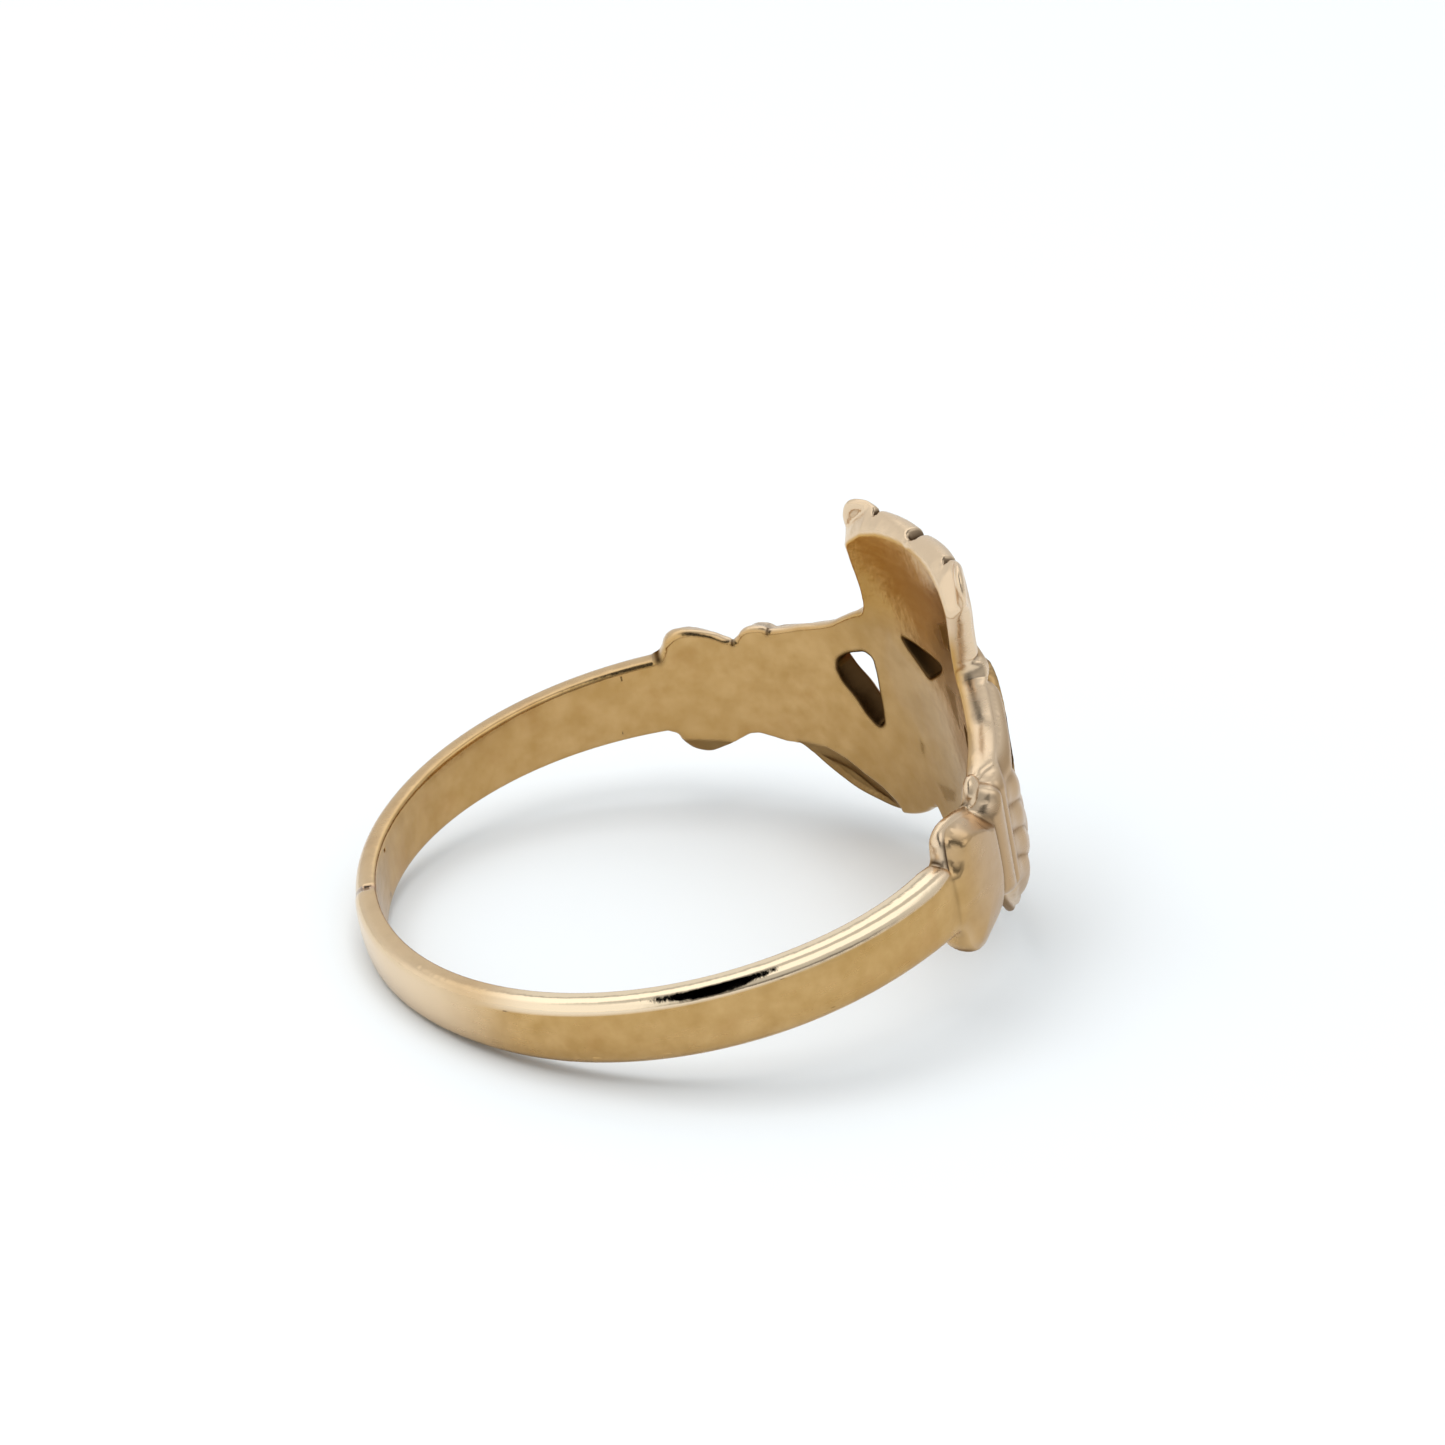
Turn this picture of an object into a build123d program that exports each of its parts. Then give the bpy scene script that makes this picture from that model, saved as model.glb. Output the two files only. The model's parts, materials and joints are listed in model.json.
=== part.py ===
"""A claddagh ring, cast in one piece of gold: a crowned heart held between two hands.

Frame of the finished ring: millimetres, +Z up, the surface that it lies on at Z = 0 and the middle of its
bounding box over the origin. It lies on its side as it rests by itself, on the heart's point and the back of the
shank, with the head towards +X and the crown up. Every form is first made about the ring's own finger axis, which
is Z there: the middle of the shank is at Z = 0, and angles are counted round the finger from the heart at +X.
"""
import os
from math import asin, atan2, cos, degrees, radians, sin

from build123d import *

# Finger hole and shank
finger_d = 17.3
shank_back_w = 1.7
shank_front_w = 2.85
shank_back_t = 0.68
shank_side_t = 0.84
shank_edge_round = 0.3

# Walls of the head, measured outwards from the finger hole
head_edge_t = 0.5
hand_t = 1.1
cuff_edge_t = 0.62
cuff_t = 1.12
digit_edge_t = 0.62
finger_t = 1.38
heart_t = 1.45
crown_t = 0.82
crown_rib_t = 1.0

# Heights above and below the middle of the shank
crown_top = 6.5
crown_base = 2.85
heart_lobe_top = 3.0
heart_cleft = 1.8
heart_waist = -1.1
heart_point = -4.9
hand_top = 3.05
hand_bottom = -4.1
cuff_w = 4.25
wrist_w = 3.35

# Places round the finger, in degrees from the middle of the heart
cuff_back_a = 65.0
cuff_rim_a = 61.0
wrist_a = 49.5
palm_a = 40.0
thumb_a = 22.0
fingertip_a = 9.0
opening_a = 27.5

# Widths across the head
heart_w = 5.5
heart_lobe_r = 1.42
heart_waist_share = 0.71
cleft_w = 2.3
heart_cross_r = 5.2
crown_base_w = 5.45
crown_tip_w = 6.1

# Small forms
crown_points = 4
crown_end_point_w = 1.0
crown_notch_depth = 0.3
crown_bevel = 0.5
crown_bevel_drop = 0.5
crown_rib_w = 0.75
finger_w = 0.62
fingers = 4
thumb_w = 0.85
opening_round = 0.22

finger_r = finger_d / 2
reach = 2 * finger_d


def across(angle):
    """Distance from the middle plane of a point on the finger hole, at this angle from the heart."""
    return finger_r * sin(radians(angle))


def on_hand(angle, height):
    """A point of the finger hole seen square to the palm: across the palm's plane, and height."""
    return (finger_r * sin(radians(angle - palm_a)), height)


def heart_flank(height):
    """Half the heart's width at a height below its waist."""
    return heart_waist_share * heart_w / 2 * (height - heart_point) / (heart_waist - heart_point)


palm_plane = Plane(origin=(0, 0, 0), x_dir=(-sin(radians(palm_a)), cos(radians(palm_a)), 0),
                   z_dir=(cos(radians(palm_a)), sin(radians(palm_a)), 0))

# Shank: an eccentric band that is thinner at the back, tapered between two slanting planes
with BuildPart() as shank:
    with BuildSketch(Plane.XY):
        with Locations((shank_side_t - shank_back_t, 0)):
            Circle(finger_r + shank_side_t)
        Circle(finger_r, mode=Mode.SUBTRACT)
    extrude(amount=shank_front_w, both=True)
    with BuildSketch(Plane.XZ):
        slope = (shank_front_w - shank_back_w) / (4 * finger_r)
        front = shank_front_w / 2 + slope * (reach - finger_r)
        back = shank_back_w / 2 - slope * (reach - finger_r) / 4
        far_back = -(finger_r + (reach - finger_r) / 4)
        with BuildLine():
            Polyline((far_back, back), (reach, front), (reach, -front), (far_back, -back), close=True)
        make_face()
    extrude(amount=reach, both=True, mode=Mode.INTERSECT)
    with BuildSketch(Plane.XY):
        sector = (cuff_rim_a + wrist_a) / 2
        with BuildLine():
            Polyline((0, 0), (reach * cos(radians(sector)), reach * sin(radians(sector))),
                     (reach * cos(radians(sector)), -reach * sin(radians(sector))), close=True)
        make_face()
    extrude(amount=shank_front_w, both=True, mode=Mode.SUBTRACT)
    outside = shank.faces().sort_by(SortBy.AREA)[-1]
    fillet(outside.edges().sort_by(SortBy.LENGTH)[-2:], radius=shank_edge_round)


def domed_shell(edge_t, middle_t, low, high):
    """A full turn of wall round the finger hole: edge_t thick at the heights low and high, middle_t halfway."""
    with BuildPart() as shell:
        with BuildSketch(Plane.XZ):
            with BuildLine():
                ThreePointArc((finger_r + edge_t, low), (finger_r + middle_t, (low + high) / 2),
                              (finger_r + edge_t, high))
                Polyline((finger_r + edge_t, high), (finger_r / 2, high), (finger_r / 2, low),
                         (finger_r + edge_t, low))
            make_face()
        revolve(axis=Axis.Z)
    return shell.part


# Hand: the palm spreads from the wrist to the crown's foot above and to the heart's flank below
with BuildSketch(palm_plane) as hand_outline:
    spread_a = (palm_a + thumb_a) / 2
    with BuildLine():
        Spline(on_hand(wrist_a, wrist_w / 2), on_hand(palm_a, 0.6 * wrist_w), on_hand(spread_a, 0.78 * hand_top),
               on_hand(thumb_a - 2, hand_top))
        Polyline(on_hand(thumb_a - 2, hand_top), on_hand(fingertip_a, hand_top), on_hand(fingertip_a, 0),
                 on_hand(fingertip_a / 2, 0.78 * hand_bottom), on_hand(fingertip_a, 0.86 * hand_bottom))
        Spline(on_hand(fingertip_a, 0.86 * hand_bottom), on_hand(thumb_a - 2, hand_bottom),
               on_hand(spread_a, 0.85 * hand_bottom), on_hand(palm_a, -0.63 * wrist_w),
               on_hand(wrist_a, -wrist_w / 2))
        Line(on_hand(wrist_a, -wrist_w / 2), on_hand(wrist_a, wrist_w / 2))
    make_face()

with BuildPart() as palm:
    extrude(hand_outline.sketch, amount=reach)
    add(domed_shell(head_edge_t, hand_t, hand_bottom, hand_top + head_edge_t), mode=Mode.INTERSECT)

# Fingers: bowed ridges side by side from the knuckles to the heart's flank, and one thumb above the opening
with BuildPart() as digits:
    with BuildSketch(palm_plane):
        for i in range(fingers):
            share = i / (fingers - 1)
            tip_z = (0.31 + 0.53 * share) * hand_bottom
            tip_a = degrees(asin(heart_flank(tip_z) / finger_r))
            with BuildLine(mode=Mode.PRIVATE):
                bow = ThreePointArc(on_hand(palm_a - 2, (0.02 + 0.45 * share) * hand_bottom),
                                    on_hand(thumb_a + 1, (0.31 + 0.56 * share) * hand_bottom),
                                    on_hand(tip_a, tip_z))
            SlotArc(bow, finger_w)
        root, tip = on_hand(palm_a, 0.36 * hand_top), on_hand(thumb_a, 0.78 * hand_top)
        SlotCenterPoint(((root[0] + tip[0]) / 2, (root[1] + tip[1]) / 2), tip, thumb_w)
    extrude(amount=reach)
    extrude(hand_outline.sketch, amount=reach, mode=Mode.INTERSECT)
    add(domed_shell(digit_edge_t, finger_t, hand_bottom, hand_top + head_edge_t), mode=Mode.INTERSECT)

# Cuff: a flaring band between the shank and the wrist
with BuildPart() as cuff:
    with BuildSketch(palm_plane):
        flare_a = (cuff_rim_a + wrist_a) / 2
        flare_w = (cuff_w + wrist_w) / 2
        with BuildLine():
            for s in (-1, 1):
                Line(on_hand(cuff_back_a, 0), on_hand(cuff_back_a, s * 0.45 * shank_front_w))
                Line(on_hand(cuff_back_a, s * 0.45 * shank_front_w), on_hand(cuff_rim_a, s * cuff_w / 2))
                Spline(on_hand(cuff_rim_a, s * cuff_w / 2), on_hand(flare_a, s * flare_w / 2),
                       on_hand(wrist_a, s * wrist_w / 2))
                Line(on_hand(wrist_a, s * wrist_w / 2), on_hand(wrist_a, 0))
        make_face()
    extrude(amount=reach)
    add(domed_shell(cuff_edge_t, cuff_t, -cuff_w / 2, cuff_w / 2), mode=Mode.INTERSECT)

# Heart: two round lobes and a point, domed both ways
with BuildPart() as heart:
    lobe_z = heart_lobe_top - heart_lobe_r
    with BuildSketch(Plane.YZ):
        with Locations((heart_w / 2 - heart_lobe_r, lobe_z), (heart_lobe_r - heart_w / 2, lobe_z)):
            Circle(heart_lobe_r)
        with BuildLine():
            ThreePointArc((heart_w / 2, lobe_z), (heart_waist_share * heart_w / 2, heart_waist), (0, heart_point))
            ThreePointArc((0, heart_point), (-heart_waist_share * heart_w / 2, heart_waist), (-heart_w / 2, lobe_z))
            Line((-heart_w / 2, lobe_z), (heart_w / 2, lobe_z))
        make_face()
    extrude(amount=reach)
    dome_axis = Axis((finger_r + heart_t - heart_cross_r, 0, 0), (0, 0, 1))
    with BuildSketch(Plane.XZ):
        with BuildLine():
            ThreePointArc((finger_r + head_edge_t, heart_point), (finger_r + heart_t, heart_point / 4),
                          (finger_r + 0.75 * heart_t, heart_lobe_top))
            Polyline((finger_r + 0.75 * heart_t, heart_lobe_top), (dome_axis.position.X, heart_lobe_top),
                     (dome_axis.position.X, heart_point), (finger_r + head_edge_t, heart_point))
        make_face()
    revolve(axis=dome_axis, mode=Mode.INTERSECT)

# Crown: a flaring band with a rib at its foot and low round points, of which the two at the ends are narrower
with BuildPart() as crown:
    notch_z = crown_top - crown_notch_depth
    with BuildSketch(Plane.YZ):
        pitch = (crown_tip_w - 2 * crown_end_point_w) / (crown_points - 2)
        notches = [crown_end_point_w - crown_tip_w / 2 + i * pitch for i in range(crown_points - 1)]
        feet = [-crown_tip_w / 2] + notches + [crown_tip_w / 2]
        with BuildLine():
            Polyline((crown_tip_w / 2, notch_z), (crown_base_w / 2, crown_base), (-crown_base_w / 2, crown_base),
                     (-crown_tip_w / 2, notch_z))
            for left, right in zip(feet, feet[1:]):
                ThreePointArc((left, notch_z), ((left + right) / 2, crown_top), (right, notch_z))
        make_face()
    extrude(amount=reach)
    with BuildSketch(Plane.XZ):
        with BuildLine():
            Polyline((finger_r / 2, crown_base), (finger_r + crown_rib_t, crown_base),
                     (finger_r + crown_rib_t, crown_base + crown_rib_w), (finger_r + crown_t, crown_base + crown_rib_w),
                     (finger_r + crown_t, crown_top), (finger_r + crown_bevel, crown_top),
                     (finger_r, crown_top - crown_bevel_drop), (finger_r / 2, crown_top - crown_bevel_drop),
                     close=True)
        make_face()
    revolve(axis=Axis.Z, mode=Mode.INTERSECT)

# One casting: the hands are mirrored, everything is fused, and the finger hole and the openings are cut through
with BuildPart() as casting:
    add(shank.part)
    add(palm.part)
    add(cuff.part)
    add(digits.part)
    mirror(palm.part, about=Plane.XZ)
    mirror(cuff.part, about=Plane.XZ)
    mirror(digits.part, about=Plane.XZ)
    add(crown.part)
    with BuildSketch(Plane.YZ):
        for s in (-1, 1):
            with BuildLine():
                Polyline((s * across(opening_a), 0.31 * hand_top), (s * heart_w / 2, 0.56 * hand_top),
                         (s * heart_w / 2, 0.22 * hand_bottom), close=True)
            make_face()
        fillet(vertices(), radius=opening_round)
    extrude(amount=reach, mode=Mode.SUBTRACT)
    add(heart.part)
    with BuildSketch(Plane.YZ):
        with BuildLine():
            Polyline((-cleft_w / 2, crown_base), (cleft_w / 2, crown_base), (0, heart_cleft), close=True)
        make_face()
    extrude(amount=reach, mode=Mode.SUBTRACT)
    Cylinder(finger_r, reach, mode=Mode.SUBTRACT)

# Laid down: it leans on the heart's point and on the lower edge of the shank's back
lean = degrees(atan2(-heart_point - shank_back_w / 2, 2 * finger_r + shank_back_t - shank_edge_round))
with BuildPart() as laid:
    add(casting.part, rotation=(0, -lean, 0))
box = laid.part.bounding_box()
with BuildPart() as ring:
    with Locations((-box.center().X, -box.center().Y, -box.min.Z)):
        add(laid.part)
ring.part.label = "ring"

os.makedirs("parts", exist_ok=True)
export_step(ring.part, "parts/ring.step")
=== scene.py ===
"""A claddagh ring, cast in one piece of gold and worn soft, lying on its side on a pale floor.

The ring is one closed skin that stands in for the plain solid. It is drawn on a map of the finger hole:
around is the distance round the hole from the middle of the heart, height the distance above the shank's
middle line, both in millimetres. An outline on that map gives the casting's edge and its openings, and a
wall thickness at each place gives the outside: hands, heart, crown and cuffs in relief. The map is then
rolled round the finger and laid down.
"""

import json
from math import radians

import bpy
import numpy as np
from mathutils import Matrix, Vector


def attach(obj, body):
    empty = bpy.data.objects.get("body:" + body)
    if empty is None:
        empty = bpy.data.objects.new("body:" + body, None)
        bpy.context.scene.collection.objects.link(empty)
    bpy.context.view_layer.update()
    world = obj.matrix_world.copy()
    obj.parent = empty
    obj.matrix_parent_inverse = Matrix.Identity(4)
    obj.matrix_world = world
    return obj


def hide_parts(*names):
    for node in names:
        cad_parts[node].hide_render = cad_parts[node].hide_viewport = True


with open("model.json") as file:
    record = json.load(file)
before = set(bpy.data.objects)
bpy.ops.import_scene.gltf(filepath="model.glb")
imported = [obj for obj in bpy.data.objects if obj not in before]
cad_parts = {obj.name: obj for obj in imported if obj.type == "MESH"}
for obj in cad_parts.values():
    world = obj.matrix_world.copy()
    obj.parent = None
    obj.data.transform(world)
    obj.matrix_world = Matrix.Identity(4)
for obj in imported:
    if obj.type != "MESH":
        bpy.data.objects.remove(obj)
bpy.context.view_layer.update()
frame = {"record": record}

mm = 0.001
bore = frame["record"]["mounts"][0]
finger_r = bore["dims"]["r_mm"]
finger_centre = np.array(bore["pos_m"]) / mm
finger_axis = np.array(bore["axis"])
per_degree = radians(1) * finger_r
girth = 360 * per_degree

# Shank: half widths at the back and at the front, walls at the back and at the sides, and how far its
# outside falls: as a share from the middle line to the edges, and again close to an edge
half_back, half_front = 0.85, 1.425
wall_back, wall_side = 0.68, 0.84
camber, shoulder = 0.1, 0.16

# Sizing joint: its place in degrees, the step up past it, and what wear has taken there by the near cuff
joint_angle, joint_step, joint_wear = 160.0, 0.07, 0.13

# The shank's lower edge on the near side: how far it sags at the back, and how much wear has taken in front
lower_sag, lower_wear = 0.08, 0.28

# Edge rounding of the skin, along the map, and the rim that makes it: its strips, the power of its squarer
# corner, and the step over which the slope at its inner side is measured
shank_round, head_round, crown_round, opening_round = 0.36, 0.15, 0.3, 0.08
rim_steps, corner_power, slope_step = 14, 0.4, 0.05

# Room: its brightness by the angle from the horizon beyond the ring, over the top, to the near horizon,
# that at its left and right ends, and its tint
room_profile = [(0, 0.85), (34, 0.95), (38, 0.55), (43, 1.45), (70, 1.45), (78, 0.7), (93, 0.7), (101, 1.4),
                (134, 1.4), (143, 0.7), (160, 0.65), (168, 0.35), (180, 0.15)]
room_left, room_right = 1.2, 0.75
room_tint = (0.94, 0.975, 1, 1)

# Dark patch in the room: the directions of its middle and of its length, and half its length and width
dark_middle, dark_way = (-0.41, -0.5, 0.76), (0.16, 0.72, 0.67)
dark_length, dark_width = 0.7, 0.25

# Lamp: its direction and distance, its side, and its power
lamp_way, lamp_distance = (-0.2, 0.06, 0.98), 0.5
lamp_size, lamp_power = 0.45, 1.9

# Camera: its place in millimetres, its turns in degrees, and its lens
camera_place, camera_turns, camera_lens = (-46.544, -91.861, 52.809), (65.815, -1.035, -26.811), 99.65

# Colours of the gold: deep and light faces, clouds and blotches, the crown's inside as a painted reflection
# of the ring's own inside, the head's dull outside, worn edges (with painted highlight), the polished edge's
# painted highlight, solder, and painted shade with its glance
gold_deep, gold_light = (0.48, 0.29, 0.105, 1), (0.60, 0.385, 0.165, 1)
gold_cloud, gold_blotch = (0.50, 0.30, 0.10, 1), (0.42, 0.215, 0.07, 1)
crown_reflection_gold, gold_dull = (0.55, 0.30, 0.06, 1), (0.47, 0.315, 0.185, 1)
gold_pale, gold_polish_highlight = (0.74, 0.56, 0.38, 1), (0.86, 0.69, 0.48, 1)
solder, shade_brown, shade_glance = (0.55, 0.36, 0.27, 1), (0.055, 0.027, 0.010, 1), (0.4, 0.22, 0.1, 1)

# Grid spacing on the map: fine in the head, coarse along the shank
fine, coarse = 0.063, 0.25
head_reach = 70 * per_degree
low_row, high_row = -5.1, 6.75


def on_map(points):
    """Points given as (degrees from the heart's middle, height) as (around, height) in millimetres."""
    return np.array(points, float) * (per_degree, 1)


def smooth_line(points, step=0.07):
    """A smooth curve through the points: cubic pieces in chord length, sloped by central differences."""
    p = np.asarray(points, float)
    chord = np.concatenate([[0], np.cumsum(np.linalg.norm(np.diff(p, axis=0), axis=1))])
    slope = np.gradient(p, chord, axis=0)
    at = np.linspace(0, chord[-1], max(2, int(np.ceil(chord[-1] / step)) + 1))
    k = np.clip(np.searchsorted(chord, at, side="right") - 1, 0, len(p) - 2)
    span = (chord[k + 1] - chord[k])[:, None]
    t = (at - chord[k])[:, None] / span
    return ((1 + 2 * t) * (1 - t) ** 2 * p[k] + t * (1 - t) ** 2 * span * slope[k]
            + t * t * (3 - 2 * t) * p[k + 1] + t * t * (t - 1) * span * slope[k + 1])


def mirrored(points):
    """The same points on the other side of the heart, in reverse order."""
    return np.asarray(points)[::-1] * (-1, 1)


def ramp(x, low, high):
    """0 below low, 1 above high, and a smooth S between them."""
    t = np.clip((x - low) / (high - low), 0, 1)
    return t * t * (3 - 2 * t)


def stretch(x, start, end):
    """1 between two places, with a smooth rise over the start and a smooth fall over the end."""
    return ramp(x, *start) * (1 - ramp(x, *end))


def blend(a, b, share):
    """The value a where the share is 0, b where it is 1, and one in between elsewhere."""
    return a + (b - a) * share


# The near wrist sits closer to the heart than the far one: angles on the far side, and theirs on the near
far_angles = np.array([0, 24, 38, 42.4, 45.5, 48.3, 50.3, 51.8, 56.4, 60.8, 62.6, 63.9, 64.8, 66.8, 72,
                       100, 180])
near_angles = np.array([0, 24, 37.6, 41.2, 43.6, 45.5, 47, 48.7, 53.6, 57.7, 60, 61.3, 61.9, 62.6, 68.6,
                        100, 180])


def near_hand(points):
    """Points of the far hand carried over to the near one, in reverse order. Below, its cuff flares less."""
    far = points[:, 0] / per_degree
    less = 1 + (0.04 * bump(far - 26, 7) - 0.15 * ramp(far, 48, 58)) * (points[:, 1] < 0)
    near = -np.interp(far, far_angles, near_angles) * per_degree
    return np.stack([near, points[:, 1] * less], axis=1)[::-1]


def on_far_hand(points):
    """Where points of either hand lie on the far one."""
    angle = np.abs(points[:, 0]) / per_degree
    angle = np.where(points[:, 0] < 0, np.interp(angle, near_angles, far_angles), angle)
    return np.stack([angle * per_degree, points[:, 1]], axis=1)


def dome(x):
    """A quarter circle's rise: 0 and upright at x = 0, level at 1 from x = 1 on."""
    x = np.clip(x, 0, 1)
    return np.sqrt(x * (2 - x))


def bump(x, width):
    """A bell that is 1 at x = 0 and about a third of that at x = width."""
    return np.exp(-(x / width) ** 2)


def shank_half(around):
    """Half the shank's width, growing evenly from its back to its front."""
    return blend(half_back, half_front, (1 + np.cos(np.radians(around / per_degree))) / 2)


def joint_rise(around):
    """How far the shank stands up past the sizing joint: a small step, and a loss by wear near the cuff."""
    past = np.mod(around / per_degree, 360) - joint_angle
    return joint_step * ramp(past, -0.2, 0.5) - joint_wear * ramp(past, 95, 136) * (past < 150)


def shank_edge(around, side):
    """Height of the shank's upper (side 1) or lower (side -1) edge, worn narrower on the near side."""
    if side > 0:
        return shank_half(around) + joint_rise(around)
    near = 360 - np.mod(around / per_degree, 360)
    sag = lower_sag * bump(near - 138, 18)
    worn = lower_wear * (1 - ramp(near, 68, 125)) * (around < 0)
    return -shank_half(around) - sag + worn


# Outline of the far hand and cuff, above and below, from the cuff's back to the crown and the heart
hand_above = on_map([(66.8, 1.27), (65.8, 1.33), (64.8, 1.55), (63.9, 1.84), (62.6, 2.0), (60.8, 2.08),
                     (58.8, 2.06), (56.4, 1.98), (53.6, 1.83), (51.8, 1.68), (50.4, 1.63), (49.4, 1.72),
                     (48.3, 1.91), (47, 2.01), (45.3, 2.04), (43.6, 2.02), (42.4, 1.97), (41, 1.99),
                     (38.8, 2.05), (36, 2.15), (31.5, 2.28), (28, 2.44), (25.5, 2.65), (22.5, 2.9),
                     (20.7, 3.03), (19.5, 3.13)])
crown_side = on_map([(19.5, 3.13), (18.9, 3.35), (18.8, 3.75), (19.4, 4.3), (20.4, 4.85), (21.4, 5.3),
                     (22.1, 5.72), (22.2, 6.05), (21.5, 6.34), (20, 6.55), (17.8, 6.62), (15.8, 6.6),
                     (14.3, 6.54), (13.2, 6.47)])
hand_below = on_map([(66.8, -1.27), (65.6, -1.4), (64.5, -1.78), (62.6, -2.18), (59.8, -2.35),
                     (56.5, -2.19), (52.5, -1.88), (49.5, -1.7), (46.5, -1.83), (43.5, -1.99), (41, -2.07),
                     (39, -2.42), (36.2, -2.88), (33.5, -3.24), (29.9, -3.62), (25.6, -3.86),
                     (21.5, -3.99), (18.5, -3.97), (15.2, -3.86), (11.5, -3.6), (8.3, -3.25),
                     (6.7, -3.12)])
heart_tip = on_map([(6.7, -3.12), (5.3, -3.5), (3.7, -4.05), (2, -4.55), (0.8, -4.84), (0, -4.9)])

# Crown: the side notches' angle, the outline's heights at the side and middle notches, the points' top
crown_notch = 13.2
side_notch_top, middle_notch_top = 6.47, 6.44
point_top = 6.55

# Openings: one beside the heart, which is mirrored, and one in its cleft
side_opening = on_map([(27.8, 0.86), (27.3, 1.15), (25.5, 1.37), (22.5, 1.55), (20, 1.62), (18.9, 1.52),
                       (18.5, 1.2), (18.45, 0.44), (18.55, -0.4), (18.9, -0.7), (19.9, -0.82), (21.5, -0.65),
                       (24.5, 0.02), (27.1, 0.55), (27.8, 0.86)])
cleft_sill = on_map([(7.3, 2.72), (4.5, 2.72), (0, 2.69), (-4.5, 2.7), (-7.3, 2.7)])
cleft_lobes = on_map([(-7.3, 2.7), (-6.4, 2.54), (-4.3, 2.3), (-2, 2.06), (0, 1.9), (2, 2.06), (4.3, 2.3),
                      (6.4, 2.55), (7.3, 2.72)])

# Heart: half its outline, from the cleft round a lobe to the point, in millimetres across and up
heart_half = np.array([(0, 1.83), (0.3, 2.02), (0.7, 2.3), (1.1, 2.6), (1.5, 2.84), (1.95, 2.9), (2.4, 2.68),
                       (2.72, 2.2), (2.86, 1.5), (2.87, 0.7), (2.74, -0.1), (2.45, -1.0), (1.97, -1.95),
                       (1.45, -2.7), (0.98, -3.35), (0.58, -4.05), (0.26, -4.58), (0, -4.9)])

# Fingers and thumb: their middle lines, from knuckle to tip
finger_lines = [
    on_map([(38, 0.98), (33, 0.75), (29.6, 0.3), (26.4, -0.33), (23.3, -0.93), (20.8, -1.25),
            (18.2, -1.42)]),
    on_map([(38.5, 0.18), (33.2, -0.12), (29, -0.64), (25.5, -1.24), (22, -1.8), (18.8, -2.12),
            (15.6, -2.25)]),
    on_map([(39, -0.62), (34, -0.95), (29.8, -1.46), (26, -2.0), (22, -2.5), (17.6, -2.82), (13.2, -2.9)]),
    on_map([(39.5, -1.38), (35.3, -1.83), (31, -2.36), (26.5, -2.86), (22, -3.22), (16.5, -3.38),
            (10.8, -3.28)]),
]
thumb_line = on_map([(40, 1.2), (35, 1.36), (30, 1.74), (25.6, 2.14), (22.3, 2.42), (20.6, 2.56)])
finger_half, thumb_half = 0.43, 0.47

# Marks inside the head, and how dark each is: painted shade; and a patch beside them that is paler, a
# painted reflection
marks = [
    (on_map([(-10.1, 4.4), (-19.9, 5.2), (-17.4, 4), (-12.3, 3.6), (-10.1, 4.4)]), 0.6),
    (on_map([(-6.7, 2.26), (-14.7, 2.43), (-13.9, 0.72), (-9.3, 1.34), (-6.7, 2.26)]), 0.4),
    (on_map([(8.6, -0.57), (6.2, -0.85), (7.5, -1.6), (8.7, -1.17), (8.6, -0.57)]), 0.45),
    (on_map([(5.2, -2), (-3.8, -1.74), (-2.4, -2.37), (2.9, -2.67), (5.2, -2)]), 0.28),
]
pale_reflection_patch = on_map([(12, 3.2), (10, 2.5), (4.7, 1.95), (-0.4, 1.75), (-6.2, 1.5), (-12.5, 1.2), (-7.4, 0.1),
                    (6.5, -0.9), (14, 0.3), (16, 1.6), (12, 3.2)])

# Walls of the head, outwards from the finger hole
edge_wall, hand_wall, palm_floor = 0.5, 1.06, 0.72
cuff_edge, cuff_wall = 0.66, 1.12
finger_wall, thumb_wall = 1.2, 1.15
heart_edge, heart_wall, heart_side = 1.12, 1.68, 0.75
crown_wall, crown_band_wall = 0.8, 1.02
crown_foot, crown_band_top = 2.86, 3.6
least_wall = 0.3

# What the upper edges of the far and near hand, the crown's edge and the openings' sides add to a wall
far_hand_edge, near_hand_edge, crown_edge, opening_edge = -0.16, 0.3, -0.1, -0.5

# How far from an edge each relief reaches its full height
shoulder_reach, cuff_reach, low_cuff_reach, hand_reach = 0.55, 1.3, 1.5, 0.4
heart_reach, heart_side_reach, crown_reach, opening_reach = 2.5, 0.5, 0.3, 0.7

# Chamfer on the cuff's upper edge: the wall at its foot, its width at the back, and its gain in front
facet_foot, facet_back, facet_gain = 0.4, 0.2, 0.26

# Waves along a hand, each as (degrees on the far side, width, rise): grooves at the wrist and at the arch
# with a swell between them, and the knuckles of the fingers
hand_waves = [(50.2, 1.1, -0.13), (42.6, 0.9, -0.09), (46.3, 1.8, 0.04)]
knuckles = [(33, 3, 0.06), (26.5, 2.2, 0.04), (21, 2, 0.03)]

# How far fingers, thumb and their traces on the back of the hand fall at half their width
finger_fall, thumb_fall, back_fall = 0.1, 0.2, 0.12

# Where parts end towards the shank, in degrees on the far side: from full to gone
cuff_end, hand_end, bevel_end = (61, 68), (49.6, 51), (64, 68)
finger_end, thumb_end, palm_end = (34, 42), (33, 41), (32, 41)

# Smaller falls: along low fingers, at the heart's point, round the heart, and at the crown's outer corners
finger_droop, heart_sink, heart_groove, crown_corner = 0.18, 0.45, 0.1, 0.1

# Crown: half its width at the foot, what it gains over a rise, the sides of its petals as shares of that
# half width, how far those fall, the depths of the grooves between them and of the one on the band, and
# the swell of the points
crown_half, crown_gain, crown_rise = 2.78, 0.26, 2.6
petal_sides = np.array([-1.02, -0.64, 0, 0.64, 1.02])
petal_fall, petal_groove, band_groove, point_swell, band_low = 0.14, 0.16, 0.12, 0.06, 0.08

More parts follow.
